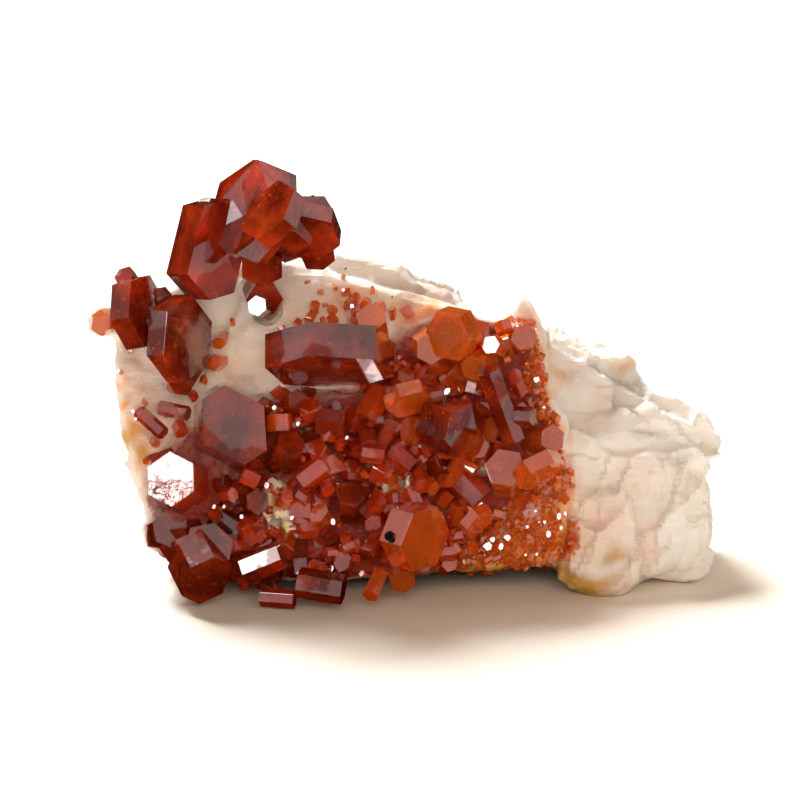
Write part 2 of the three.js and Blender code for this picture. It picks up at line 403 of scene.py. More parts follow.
def barite(name, looks):
    """Pale rock: cream to white, with the stains that are painted on the mesh, and painted shade in the
    hollow underneath.
    """
    middle_share, fibre_share, dot_share = 0.25, 0.2, 0.8
    fine_roughness, crust_gloss = 0.4, 0.7
    material = bpy.data.materials.new(name)
    paint = Paint(material)
    place = paint.node("ShaderNodeTexCoord", output="Object")
    broad = paint.grain(place, 0.006, detail=4.0, roughness=0.55)
    middle = paint.grain(place, 0.0018, detail=6.0, roughness=0.65)
    fine = paint.grain(place, 0.00035, detail=4.0, roughness=0.6)
    flakes = paint.cells(place, 1100.0)
    turned = paint.node("ShaderNodeMapping", {"vector_type": "POINT"}, {
        "Vector": place, "Rotation": (0.3, 0.5, 0.2), "Scale": (0.35, 1.0, 3.2),
    })
    fibres = paint.grain(turned, 0.0011, detail=6.0, roughness=0.7)
    base = paint.blend(paint.ramp(broad, (0.35, 0.0), (0.65, 1.0)), tuple(looks.cream), tuple(looks.white))
    base = paint.blend(paint.ramp(middle, (0.45, 0.0), (0.75, 1.0)) * middle_share, base, tuple(looks.shade))
    base = paint.blend(paint.ramp(fibres, (0.5, 0.0), (0.7, 1.0)) * fibre_share, base, tuple(looks.shade))
    uneven = 0.55 + middle * 0.9
    for stain, shade, strength in (
        ("pink", looks.pink, 0.95),
        ("grey", looks.grey, 0.8),
        ("warm", looks.warm, 0.9),
        ("amber", looks.amber, 1.0),
        ("ochre", looks.ochre, 1.0),
        # painted shade in the hollow underneath
        ("dots_and_hollow_shade", looks.dots_and_hollow_shade, 1.0),
        ("crust", looks.crust, 1.0),
    ):
        share = paint.ramp(paint.attribute(stain) * uneven, (0.0, 0.0), (1.0, strength))
        base = paint.blend(share, base, tuple(shade))
    # small dark dots of the rock, in the same colour as the painted shade of the hollow
    dots = paint.ramp(paint.cells(place, 380.0), (0.03, 1.0), (0.045, 0.0))
    base = paint.blend(dots * dot_share, base, tuple(looks.dots_and_hollow_shade))
    crust = paint.attribute("crust")
    rough = (0.42 + fine * fine_roughness) * (1.0 - crust * crust_gloss)
    height = middle * 0.4 + fine * 0.5 + flakes * 0.5 + fibres * 0.9
    bump = paint.node("ShaderNodeBump", {}, {"Height": height, "Strength": 0.7, "Distance": 0.0003})
    shader = paint.node("ShaderNodeBsdfPrincipled", {}, {
        "Base Color": base,
        "Roughness": rough,
        "IOR": 1.64,
        "Subsurface Weight": looks.milkiness,
        "Subsurface Radius": (1.0, 0.65, 0.40),
        "Subsurface Scale": 0.0012,
        "Normal": bump,
    })
    paint.node("ShaderNodeOutputMaterial", {}, {"Surface": shader})
    return material


def clear_barite(name, looks):
    """Thin barite plates: milky, pale and glossy on their cleavage."""
    material = bpy.data.materials.new(name)
    paint = Paint(material)
    place = paint.node("ShaderNodeTexCoord", output="Object")
    cloud = paint.grain(place, 0.0016, detail=5.0)
    fine = paint.grain(place, 0.0003, detail=3.0)
    base = paint.blend(paint.ramp(cloud, (0.35, 0.0), (0.6, 1.0)), tuple(looks.white), tuple(looks.honey))
    bump = paint.node("ShaderNodeBump", {}, {"Height": fine, "Strength": 0.3, "Distance": 0.0001})
    shader = paint.node("ShaderNodeBsdfPrincipled", {}, {
        "Base Color": base,
        "Roughness": 0.14 + fine * 0.2,
        "IOR": 1.64,
        "Normal": bump,
    })
    paint.node("ShaderNodeOutputMaterial", {}, {"Surface": shader})
    return material


def dark_grain(name):
    """The dark speck: nearly black and faintly glossy, with a brown cast."""
    material = bpy.data.materials.new(name)
    paint = Paint(material)
    place = paint.node("ShaderNodeTexCoord", output="Object")
    patches = paint.grain(place, 0.0002, detail=3.0)
    base = paint.blend(patches, (0.003, 0.002, 0.001), (0.012, 0.006, 0.004))
    shader = paint.node("ShaderNodeBsdfPrincipled", {}, {
        "Base Color": base, "Roughness": 0.6 + patches * 0.3, "Specular IOR Level": 0.15,
    })
    paint.node("ShaderNodeOutputMaterial", {}, {"Surface": shader})
    return material


# ---------- what a user can change ----------


def tint(name, description, default):
    """A colour that a user can change."""
    return FloatVectorProperty(
        name=name, description=description, default=default, subtype="COLOR", size=3, min=0.0, max=1.0,
    )


def amount(name, description, default, low=0.0, high=1.0):
    """A plain number that a user can change."""
    return FloatProperty(name=name, description=description, default=default, min=low, max=high, precision=3)


def distance(name, description, default):
    """A length that a user can change."""
    return FloatProperty(
        name=name, description=description, default=default, min=0.0, unit="LENGTH", precision=5,
    )


class CrystalLooks(bpy.types.PropertyGroup):
    """Colours and finish of the vanadinite."""

    deep_red: tint("Deep red", "Colour of the thickest crystals", (0.19, 0.016, 0.004))
    bright_red: tint("Bright red", "Colour where a crystal thins out", (0.86, 0.078, 0.014))
    orange: tint("Orange", "Colour of the thinnest crystals", (0.98, 0.22, 0.020))
    vein: tint("Vein", "Colour of the clouded veins inside", (0.60, 0.075, 0.012))
    depth_colour: tint("Depth colour", "What light turns to on its way through", (0.95, 0.35, 0.05))
    depth: amount("Depth", "How strongly the crystal absorbs light, per metre", 350.0, 0.0, 20000.0)
    ior: amount("IOR", "Refractive index", 1.6, 1.0, 3.0)
    sheen: amount("Sheen IOR", "Refractive index of the bright outer terraces", 1.95, 1.0, 3.0)
    clarity: amount("Clarity", "Share of the light that goes through the surface", 0.62)
    gloss: amount("Roughness", "Roughness of a fresh face", 0.05)
    relief: amount("Relief", "Strength of the growth marks", 0.25)
    cloud_size: distance("Cloud size", "Size of the colour patches", 0.004)
    pit_size: distance("Pit size", "Size of the pitted patches", 0.0011)
    terrace_size: distance("Terrace size", "Size of the bright terraces of a face", 0.0045)
    edge: distance("Edge", "Width of the worn edge of a large crystal", 0.00003)


class RockLooks(bpy.types.PropertyGroup):
    """Colours and shape of the barite rock."""

    cream: tint("Cream", "Main colour", (0.95, 0.92, 0.87))
    white: tint("White", "Fresh barite", (0.97, 0.96, 0.95))
    shade: tint("Shade", "Colour of the hollows", (0.87, 0.79, 0.70))
    pink: tint("Pink", "Stain of the lower right", (0.97, 0.76, 0.67))
    grey: tint("Grey", "Weathered rock behind", (0.42, 0.40, 0.37))
    warm: tint("Warm", "Stain close to the crystals", (0.78, 0.42, 0.22))
    amber: tint("Amber", "Stain of the finest druse", (0.90, 0.34, 0.06))
    ochre: tint("Ochre", "Iron stain", (0.62, 0.34, 0.06))
    # painted shade in the hollow underneath, and also the colour of the rock's small dark dots
    dots_and_hollow_shade: tint("Dots and hollow shade", "Small dark dots, and painted shade in the hollow underneath", (0.10, 0.045, 0.015))
    honey: tint("Honey", "Tint of the thin plates", (0.90, 0.72, 0.34))
    crust: tint("Crust", "Rock between the small crystals", (0.34, 0.026, 0.004))
    milkiness: amount("Milkiness", "How far light spreads in the rock", 0.35)
    grain: distance("Grain", "Size of the mesh that the rock is cut in", 0.00027)
    roughness: amount("Roughness", "Scale of the broken facets", 1.0, 0.0, 3.0)


class DruseLooks(bpy.types.PropertyGroup):
    """How the small crystals are sown."""

    seed: IntProperty(name="Seed", description="Picks another arrangement of the small crystals", default=7)
    tries: IntProperty(name="Tries", description="Places tried for each size of crystal", default=4200)


class StageLooks(bpy.types.PropertyGroup):
    """The camera and the studio."""

    view_width: distance("View width", "Width of what the camera sees at the specimen", 0.064)
    camera_distance: distance("Camera distance", "From the camera to the specimen", 0.95)
    daylight: amount("Daylight", "Brightness of the white room as it lights the rock", 0.16, 0.0, 5.0)
    dusk: amount("Dusk", "Brightness of the room as a crystal face mirrors it", 0.50, 0.0, 5.0)


# ---------- rock ----------


def facets(point, size, seed, height):
    """How far a point moves where the rock breaks in flat facets of that size, in millimetres."""
    cell = point / size + Vector((seed, seed * 1.7, seed * 0.6))
    _, centres = noise.voronoi(cell)
    tilt = noise.cell_vector(centres[0] * 7.31)
    return (cell - centres[0]).dot(tilt) * height


def bladed(place, heading):
    """A place in millimetres, squeezed so that facets on it come out as blades along the heading."""
    turned = Matrix.Rotation(-math.radians(heading), 3, "Z") @ place
    return Vector((turned.x * 0.45, turned.y * 1.35, turned.z * 0.9))


STAINS = {
    # name: blobs of (x, y, reach across, reach up, strength) on the face
    "pink": (
        (16.2, 6.2, 2.7, 2.9, 1.0), (19.5, 4.4, 0.9, 2.0, 1.3), (16.8, 1.2, 2.0, 0.8, 1.0),
        (18.6, 9.6, 2.6, 2.2, 0.6), (16.2, 15.6, 1.6, 2.0, 0.5), (21.5, 9.5, 3.0, 3.0, 0.3),
        (19.0, 1.8, 4.0, 1.2, 0.5), (-18.5, 15.0, 4.0, 6.0, 0.35),
    ),
    "grey": (
        (2.5, 24.8, 4.5, 1.4, 1.0), (18.0, 16.8, 3.0, 2.6, 0.55), (14.5, 18.6, 3.0, 2.4, 0.4),
        (-3.0, 27.0, 3.0, 1.2, 0.35),
    ),
    "warm": (
        (-9.0, 22.5, 5.0, 4.0, 0.45), (-19.0, 12.0, 5.0, 5.0, 0.5), (-21.0, 18.0, 3.0, 6.0, 0.5),
        (-13.0, 19.0, 5.0, 3.0, 0.6), (0.0, 24.0, 4.0, 2.0, 0.35), (-8.0, 14.0, 6.0, 5.0, 0.6),
        (10.0, 22.0, 3.0, 2.4, 0.3), (10.0, 7.0, 4.0, 4.0, 0.4),
    ),
    "amber": (
        (11.6, 4.2, 2.4, 1.4, 1.0), (7.6, 3.2, 3.0, 0.9, 1.0), (13.3, 8.2, 0.7, 2.0, 0.8),
        (12.0, 13.0, 0.6, 4.0, 0.8), (10.8, 19.5, 0.6, 3.0, 0.8), (-21.9, 17.7, 0.35, 0.4, 1.0),
        (-21.9, 15.6, 0.3, 0.4, 1.0), (-21.2, 13.8, 0.5, 0.8, 1.0), (-20.4, 11.9, 0.4, 0.7, 1.0),
        (1.8, 22.9, 2.0, 0.8, 0.8), (-4.2, 23.8, 1.6, 1.2, 0.5),
    ),
    "ochre": (
        (13.2, 1.4, 3.2, 0.9, 1.0), (6.0, 1.9, 5.0, 0.7, 0.9), (17.2, 3.6, 1.2, 0.7, 0.8),
        (12.8, 18.0, 1.2, 0.8, 0.7), (18.4, 18.8, 0.9, 0.7, 0.6), (-0.2, 22.6, 1.6, 1.2, 0.5),
        (-10.2, 7.4, 1.0, 1.0, 0.5), (-21.6, 13.2, 0.9, 1.2, 0.8), (-20.6, 11.8, 0.8, 0.8, 0.8),
    ),
}

CRUST_ZONE = [
    # where the rock between the small crystals is red
    (-20.0, 9), (-20.0, 5), (-18.6, 1.6), (-12, 0.8), (-4, 0.8), (4, 2.2), (6.4, 3.4), (8.4, 6.0),
    (11.8, 9.5), (11.4, 15), (10.4, 21.4), (6, 22.6), (0, 21.8), (-2.4, 17.2), (-9, 16.4), (-12.5, 13.6),
    (-17, 14.0), (-18.6, 12),
]

FRINGE = [
    # where the finest orange crystals cover the edge of the bare rock
    (9.4, 22.8), (10.8, 22.2), (11.6, 18.0), (12.0, 15.0), (12.9, 13.8), (12.9, 11.6), (13.9, 10.4),
    (13.8, 8.8), (13.0, 7.8), (13.2, 6.8), (14.4, 5.8), (14.2, 3.6), (11.5, 2.2), (8.0, 2.0), (4.4, 2.2),
    (4.4, 4.4), (8.0, 5.4), (10.8, 6.6), (12.0, 8.2), (11.8, 10.0), (11.2, 12.0), (10.4, 14.8), (9.8, 18.0),
]

BARE_WINDOWS = (
    # pale barite that shows through the druse: x, y, reach across, reach up, how bare
    (-9.7, 7.2, 1.5, 1.9, 1.0), (-1.2, 11.2, 1.2, 2.0, 1.0), (0.4, 9.4, 0.9, 1.1, 1.0),
    (-14.2, 11.6, 0.6, 0.5, 1.0), (10.4, 6.9, 1.7, 1.0, 0.9), (8.6, 5.2, 1.4, 0.6, 0.6),
    (12.6, 6.4, 0.8, 2.0, 0.6), (6.8, 10.6, 1.2, 0.6, 0.7),
)


def soft_inside(outline, x, y, soft=0.7):
    """1 inside an outline, 0 outside it, with a soft border."""
    steps = ((0, 0), (soft, 0), (-soft, 0), (0, soft), (0, -soft))
    return sum(inside(outline, x + dx, y + dy) for dx, dy in steps) / len(steps)


def blob(place, spots):
    """The strength of a set of soft spots at a place."""
    total = 0.0
    for x, y, across, up, strength in spots:
        away = ((place[0] - x) / across) ** 2 + ((place[1] - y) / up) ** 2
        total = max(total, strength * math.exp(-away))
    return total


def bare_share(x, y):
    """How bare of druse a place is."""
    return max(
        bare * math.exp(-(((x - wx) / across) ** 2 + ((y - wy) / up) ** 2) ** 2)
        for wx, wy, across, up, bare in BARE_WINDOWS
    )


# how the rock wraps the feet of the crystals, in millimetres: how thick its collar is, and how far it stands
# out of the face, round most crystals and round the two that lean out over bare rock
COLLAR = 0.42
COLLAR_TOP = 0.05
HIGH_COLLAR_TOP = 0.9
HIGH_COLLARS = ("crown_cluster", "long_tablet")


def rock_mesh(looks):
    """The rock, with a collar round each crystal's foot, as one remeshed surface."""
    weld = 1e-6
    bm = bmesh.new()
    bm.from_mesh(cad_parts["matrix"].data)
    bmesh.ops.remove_doubles(bm, verts=bm.verts, dist=weld)
    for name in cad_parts:
        if name in ("matrix", "druse_crust"):
            continue
        foot = welded(name)
        foot.normal_update()
        for v in foot.verts:
            v.co += v.normal * (COLLAR * MM)
        top = HIGH_COLLAR_TOP if name in HIGH_COLLARS else COLLAR_TOP
        cut_away(foot, on_face(0, 0, top), FACE_TURN.col[2])
        cut_away(foot, (0, 0, 0), (0, 0, -1))
        part = bpy.data.meshes.new("foot")
        foot.to_mesh(part)
        foot.free()
        bm.from_mesh(part)
        bpy.data.meshes.remove(part)
    mesh = bpy.data.meshes.new("rock_work")
    bm.to_mesh(mesh)
    bm.free()
    work = bpy.data.objects.new("rock_work", mesh)
    bpy.context.scene.collection.objects.link(work)
    remesh = work.modifiers.new("Remesh", "REMESH")
    remesh.mode = "VOXEL"
    remesh.voxel_size = looks.grain
    depsgraph = bpy.context.evaluated_depsgraph_get()
    rock = bpy.data.meshes.new_from_object(work.evaluated_get(depsgraph))
    bpy.data.objects.remove(work)
    bpy.data.meshes.remove(mesh)
    rock.name = "matrix_rock"
    return rock


# how the rock breaks: the size and the height of its facets in millimetres, and the seed of their pattern
LEDGES = {"size": 4.6, "seed": 3.0, "height": 1.3}
SPLINTERS = {"size": 1.8, "seed": 8.0, "height": 0.45}
CHIPS = {"size": 0.9, "seed": 4.0, "height": 0.12}
PLATES = {"size": 1.6, "seed": 2.0, "height": 0.16}

# which way its blades run on the face, in degrees, above and below that height up the face
UPPER_BLADES, LOWER_BLADES, BLADES_TURN_AT = -24.0, 62.0, 11.5


def break_rock(rock, looks):
    """Moves the rock's surface into blades and ledges, and leaves it smoother where crystals cover it.

    The lowest part stays flat, as the specimen rests on it.
    """
    places = face_places([v.co for v in rock.vertices])
    normals = [v.normal.copy() for v in rock.vertices]
    for vertex, normal, (x, y, z) in zip(rock.vertices, normals, places):
        place = Vector((x, y, z))
        rugged = max(ramped(x, 12.0, 14.0), ramped(-z, 2.0, 4.0))
        out = 0.0
        if rugged > 0:
            heading = UPPER_BLADES if y > BLADES_TURN_AT else LOWER_BLADES
            out += facets(bladed(place, heading), **LEDGES) * rugged
            out += facets(bladed(place, heading + 25.0), **SPLINTERS) * rugged
            out += facets(place, **CHIPS) * rugged
        smooth = noise.noise(place * 0.35) * 0.35 + noise.noise(place * 0.9) * 0.16
        out += smooth * (1.0 - 0.5 * rugged)
        out += facets(place, **PLATES) * (1.0 - rugged)
        out += noise.noise(bladed(place, 70.0) * 2.6) * 0.05
        out *= looks.roughness
        settled = ramped(vertex.co.z, 0.0, 1.2 * MM)
        vertex.co = vertex.co + normal * (out * MM * settled)
    work = bmesh.new()
    work.from_mesh(rock)
    bmesh.ops.smooth_vert(
        work, verts=work.verts, factor=0.5, use_axis_x=True, use_axis_y=True, use_axis_z=True,
    )
    for vertex in work.verts:
        vertex.co.z = max(vertex.co.z, 0.0)
    work.to_mesh(rock)
    work.free()


def paint_rock(rock):
    """Paints the stains on the rock, and the painted shade in the hollow underneath, as attributes."""
    places = face_places([v.co for v in rock.vertices])
    painted = {name: np.zeros(len(places), np.float32) for name in (*STAINS, "crust", "dots_and_hollow_shade")}
    for index, (x, y, z) in enumerate(places):
        ragged = noise.noise(Vector((x, y, z)) * 0.55) * 1.4
        fade = 1.0 / (1.0 + math.exp(-(z + 3.4) * 2.0))
        for name, spots in STAINS.items():
            painted[name][index] = blob((x + ragged, y + ragged * 0.6), spots)

        zone = soft_inside(CRUST_ZONE, x + ragged * 0.5, y + ragged * 0.4) * fade
        shallow = ramped(z + 1.6 - x * 0.02, 0.0, 1.2)
        painted["crust"][index] = zone * (1.0 - bare_share(x, y)) * shallow

        strip = soft_inside(FRINGE, x + ragged * 0.3, y + ragged * 0.3) * fade
        painted["amber"][index] = max(painted["amber"][index], strip)

        # the ochre lip along the foot of the face, and painted shade in the hollow behind it
        low = rock.vertices[index].co.z / MM + ragged * 0.3
        edge = 3.0 - 0.8 * ramped(x, 13.0, 15.0)
        lip = ramped(x, -2.0, 1.0) * ramped(-x, -18.0, -15.5) * ramped(z, -3.5, -2.0)
        painted["ochre"][index] = max(painted["ochre"][index], lip * ramped(-low, -edge, -edge + 0.7))
        hollow = ramped(-low, -2.6, -1.8) * ramped(-z, 1.2, 2.4) * ramped(z, -14.0, -9.0)
        painted["dots_and_hollow_shade"][index] = hollow * ramped(-x, -15.0, -12.5)
    for name, values in painted.items():
        attribute = rock.attributes.new(name, "FLOAT", "POINT")
        attribute.data.foreach_set("value", values)


class GrowRock(bpy.types.Operator):
    """Breaks the rock's surface and paints its stains"""

    bl_idname = "vanadinite.grow_rock"
    bl_label = "Grow Rock"

    def execute(self, context):
        looks = context.scene.vanadinite_rock
        rock = rock_mesh(looks)
        break_rock(rock, looks)
        paint_rock(rock)
        rock.shade_smooth()
        rock.set_sharp_from_angle(angle=math.radians(28))
        new_piece("matrix_rock", rock, barite("barite", looks), nodes=("matrix",))
        return {"FINISHED"}


# ---------- large crystals ----------


class GrowCrystals(bpy.types.Operator):
    """Gives each large crystal its worn edges and its finish"""

    bl_idname = "vanadinite.grow_crystals"
    bl_label = "Grow Large Crystals"

    def execute(self, context):
        looks = context.scene.vanadinite_crystals
        sharp = 0.3  # radians between two faces whose edge is worn
        # each group's glow paints its body colour lighter and more orange, as painted light shining through
        # it
        for names, material in (
            (DEEP_CRYSTALS, vanadinite("vanadinite_deep", looks, glow=0.07, murk=4.0, clear=0.85)),
            (BRIGHT_CRYSTALS, vanadinite("vanadinite_bright", looks, glow=0.82)),
            (GLOWING_CRYSTALS, vanadinite("vanadinite_glowing", looks, glow=1.05)),
            (ETCHED_CRYSTALS, vanadinite("vanadinite_etched", looks, glow=0.35, etched=9.4)),
        ):
            for name in names:
                bm = welded(name)
                edges = [e for e in bm.edges if e.is_manifold and e.is_convex and e.calc_face_angle() > sharp]
                bmesh.ops.bevel(
                    bm, geom=edges, offset=looks.edge, segments=2, profile=0.6,
                    affect="EDGES", clamp_overlap=True,
                )
                mesh = bpy.data.meshes.new(name + "_crystal")
                bm.to_mesh(mesh)
                bm.free()
                mesh.shade_flat()
                new_piece(name + "_crystal", mesh, material, nodes=(name,))
        return {"FINISHED"}


# ---------- druse ----------


SIZES = (
    # across, least and most, in millimetres, how close two such crystals may stand, and how proud they stand
    (2.0, 2.8, 0.40, -0.5),
    (1.4, 2.0, 0.33, -0.2),
    (0.9, 1.4, 0.33, 0.0),
    (0.5, 0.9, 0.36, 0.1),
    (0.28, 0.5, 0.42, 0.15),
    (0.18, 0.32, 0.45, 0.1),
)

PLACED = (
    # single small crystals on the face: x, y, across, tone from 0 deep red to 1 orange
    # on the bare rock under the crown and at the left
    (-14.3, 20.8, 1.3, 0.9), (-14.5, 19.0, 1.6, 0.8), (-17.4, 17.3, 1.6, 0.5), (-18.2, 17.0, 0.9, 0.6),
    (-16.6, 16.4, 0.9, 0.4), (-17.6, 13.7, 1.3, 0.5), (-18.6, 14.9, 0.7, 0.8), (-15.6, 17.6, 0.8, 0.7),
    (-13.4, 22.2, 0.6, 0.9), (-20.4, 15.8, 0.5, 0.9), (-19.6, 12.6, 0.8, 0.7), (-20.3, 11.2, 0.6, 0.8),
    (-14.6, 15.6, 0.9, 0.6), (-21.6, 20.0, 0.5, 0.9),
    # along the top of the long tablet
    (-8.2, 22.2, 0.7, 0.7), (-7.2, 22.6, 1.0, 0.8), (-6.2, 22.4, 0.6, 0.8), (-5.4, 22.4, 0.9, 0.7),
    (-9.4, 21.6, 0.6, 0.8), (-3.6, 22.2, 0.9, 0.7),
    # drops and a cluster above it
    (-6.8, 23.4, 1.0, 0.9), (-5.4, 23.2, 0.8, 1.0), (-6.0, 23.6, 0.4, 1.0), (-4.3, 24.6, 0.8, 0.8),
    (-3.8, 24.0, 1.2, 0.7), (-3.5, 23.2, 1.0, 0.8), (-4.3, 23.5, 0.8, 0.9), (-2.8, 23.7, 0.8, 0.8),
    (-5.2, 25.0, 0.5, 0.9), (-4.6, 25.8, 0.5, 0.9), (-6.4, 24.6, 0.5, 1.0), (-1.6, 23.4, 0.9, 0.8),
    (-0.6, 22.9, 0.8, 0.8), (-2.2, 24.8, 0.5, 0.9), (0.6, 23.0, 0.9, 0.7), (-7.4, 25.4, 0.4, 1.0),
    # in the druse, middle
    (-7.2, 15.2, 1.8, 0.35), (-5.5, 14.2, 2.5, 0.1), (-4.7, 12.5, 1.0, 0.4), (-2.3, 11.7, 1.6, 0.4),
    (-11.0, 13.6, 0.8, 0.5), (1.6, 9.5, 1.6, 0.4), (-9.6, 16.6, 1.4, 0.5), (1.4, 19.0, 1.2, 0.7),
    # lower left and centre
    (-15.0, 10.2, 1.7, 0.3), (-13.7, 8.4, 1.3, 0.4), (-12.0, 9.8, 1.5, 0.5), (-10.5, 10.3, 1.5, 0.5),
    (-8.6, 9.3, 0.8, 0.3), (-7.7, 8.2, 1.1, 0.4), (-7.4, 5.6, 1.5, 0.5), (-5.8, 9.0, 1.3, 0.4),
    (-12.1, 5.5, 1.7, 0.4), (-10.8, 5.2, 1.3, 0.5), (-4.2, 4.2, 1.0, 0.5), (-5.5, 3.8, 1.0, 0.5),
    (-3.6, 3.4, 0.7, 0.6), (-0.5, 8.1, 0.9, 0.4), (1.4, 3.1, 1.1, 0.6), (5.8, 4.2, 0.9, 0.7),
    (-18.8, 6.2, 1.5, 0.3), (-6.6, 2.6, 1.2, 0.6), (-11.8, 2.6, 1.3, 0.5),
    # by the right edge
    (9.4, 17.4, 1.9, 0.3), (9.8, 20.5, 0.7, 0.6), (9.0, 19.6, 1.0, 0.7), (11.2, 18.6, 0.8, 0.9),
    (12.4, 14.6, 0.9, 0.8), (8.8, 22.4, 0.8, 0.9), (10.6, 22.2, 0.6, 1.0),
)

GLINTS = (
    # small ends that lie in the common plane and catch the light: x, y, across
    (-3.6, 23.4, 0.4), (-4.3, 24.7, 0.35), (-9.8, 15.3, 0.4), (-7.9, 14.0, 0.4), (0.5, 18.9, 0.4),
    (-4.0, 12.9, 0.35), (-10.4, 9.1, 0.6), (9.5, 21.6, 0.7), (4.0, 16.6, 0.7), (8.6, 10.6, 0.7),
    (12.1, 5.2, 0.6), (8.3, 4.2, 0.6), (-14.6, 7.4, 0.4), (-13.8, 7.4, 0.35), (-12.4, 6.6, 0.4),
    (-8.4, 6.5, 0.4), (-5.1, 6.2, 0.6), (-22.3, 18.2, 0.4), (-21.1, 15.0, 0.35), (-20.9, 14.4, 0.3),
)


def fineness(x, y):
    """1 where the druse is finest, at the right and along the lower right, and 0 at the left."""
    lower_right = ramped(x, 1.0, 6.0) * ramped(-y, -9.0, -6.0)
    return max(lower_right, ramped(x, 9.0, 11.5))


class Plot:
    """Keeps small crystals from standing on the same spot."""

    # how many millimetres away a crystal can still be in the way
    NEARBY = 3

    def __init__(self):
        self.taken = {}

    def claim(self, x, y, reach):
        """True, and the spot is taken, if no other crystal is within reach of it."""
        column, row = round(x), round(y)
        for across in range(column - self.NEARBY, column + self.NEARBY + 1):
            for up in range(row - self.NEARBY, row + self.NEARBY + 1):
                for ox, oy, other in self.taken.get((across, up), ()):
                    if (x - ox) ** 2 + (y - oy) ** 2 < (reach + other) ** 2:
                        return False
        self.taken.setdefault((column, row), []).append((x, y, reach))
        return True


class Sower:
    """Sets small crystals on the crust and the rock, clear of the large ones."""

    # the lean and the heading of the ends that mirror the flash, in degrees
    COMMON_PLANE = (19, 158)
    # the share of the small crystals that lie so, how much greater it is in the fringe, and how wide they get
    SPARKLE, FRINGE_SPARKLE, SPARKLE_WIDTH = 0.05, 2.5, 0.7
    # the widest crystal where the druse is coarse, and how much less that is where it is finest
    WIDEST, NARROWING = 2.7, 1.9

    def __init__(self, seed):
        self.dice = random.Random(seed)
        self.crust = Ground(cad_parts["druse_crust"])
        self.rock = Ground(bpy.data.objects["matrix_rock"])
        self.large = Ground(*(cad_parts[name] for name in LARGE_CRYSTALS))
        self.plot = Plot()
        self.prisms = Prisms()

    def seat(self, x, y):
        """Where the face's surface is at a place: on the crust, or else on the bare rock."""
        found = self.crust.at(x, y)
        return self.rock.at(x, y) if found is None else found

    def pokes_through(self, x, y, middle, reach):
        """True if a crystal of that reach would come out through the front of a large one."""
        front = middle.dot(FACE_TURN.col[2]) + reach * 0.7 * MM
        for turn in range(0, 360, 45):
            for share in (0.0, 0.5, 1.0):
                away = reach * share
                found = self.large.at(
                    x + away * math.cos(math.radians(turn)), y + away * math.sin(math.radians(turn)),
                )
                if found is not None and found.dot(FACE_TURN.col[2]) < front:
                    return True
        return False

    def set(self, x, y, proud, across, length, lean, toward, tone, keep_clear=True):
        """Sets one crystal whose middle stands proud of the surface, unless a large one is in its way."""
        seat = self.seat(x, y)
        if seat is None:
            return
        spin, squeeze = self.dice.uniform(0, 60), self.dice.uniform(0.65, 1.0)
        middle = seat + FACE_TURN.col[2] * (proud * MM)
        if keep_clear and self.pokes_through(x, y, middle, max(across, length) / 2):
            return
        axis = leaning(lean, toward)
        tip = middle + axis * (length / 2 * MM)
        self.prisms.add(tip, axis, spin, across * MM, length * MM, tone=tone, squeeze=squeeze)

    def place(self):
        """Sets the single crystals and the glints that have a known place."""
        for x, y, across, tone in PLACED:
            self.plot.claim(x, y, across * 0.25)
            self.set(
                x, y, across * 0.12, across, across * self.dice.uniform(0.7, 1.2),
                self.dice.uniform(30, 85), self.dice.uniform(0, 360), tone,
            )
        for x, y, across in GLINTS:
            self.plot.claim(x, y, across * 0.5)
            self.set(x, y, 0.15, across, 1.6, *self.COMMON_PLANE, 0.7, keep_clear=False)

    def sow(self, tries):
        """Sows the crust with crystals at every angle, large ones first."""
        dice = self.dice
        ends = face_places(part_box("druse_crust"))
        left, right = sorted(ends[:, 0])
        for least, most, closeness, proud in SIZES:
            for _ in range(tries):
                x, y = dice.uniform(left if most > 0.6 else 2.0, right + 2.0), dice.uniform(0.5, 23.0)
                across = dice.uniform(least, most)
                lean, toward = math.degrees(math.acos(dice.uniform(0.0, 0.97))), dice.uniform(0, 360)
                stout, lift, tone = dice.uniform(0.55, 1.25), dice.random(), dice.gauss(0.30, 0.18)
                edging = inside(FRINGE, x, y)
                crusted = self.crust.at(x, y) is not None
                fine = 1.0 if edging else fineness(x, y)
                share = self.SPARKLE * (self.FRINGE_SPARKLE if edging else 1.0)
                if dice.random() < share and across < self.SPARKLE_WIDTH:
                    lean, toward = self.COMMON_PLANE
                too_large = across > self.WIDEST - self.NARROWING * fine
                too_small = most < 0.6 and fine < 0.4
                bare = not edging and dice.random() < bare_share(x, y)
                if too_large or too_small or bare or not (edging or crusted):
                    continue
                if not self.plot.claim(x, y, across * closeness):
                    continue
                swell = 0.6 * noise.noise(Vector((x, y, 3.0)) * 0.35)
                sunk = lift * 0.9 + 0.4 * fine if crusted else lift * 0.2
                tone += 0.3 * fine + 0.5 * edging + 0.35 * ramped(x, -6.0, 8.0)
                self.set(
                    x, y, proud + swell - sunk, across, across * stout, lean, toward, ramped(tone, 0.0, 1.0),
                )


class GrowDruse(bpy.types.Operator):
    """Sows the crust of small crystals in place of its stand-in solid"""

    bl_idname = "vanadinite.grow_druse"
    bl_label = "Grow Druse"

    def execute(self, context):
        looks = context.scene.vanadinite_druse
        crystal_looks = context.scene.vanadinite_crystals
        sower = Sower(looks.seed)
        sower.place()
        sower.sow(looks.tries)
        material = vanadinite("vanadinite_druse", crystal_looks)
        new_piece("druse", sower.prisms.mesh("druse"), material, nodes=("druse_crust",))
        return {"FINISHED"}


# ---------- barite blades and the speck ----------


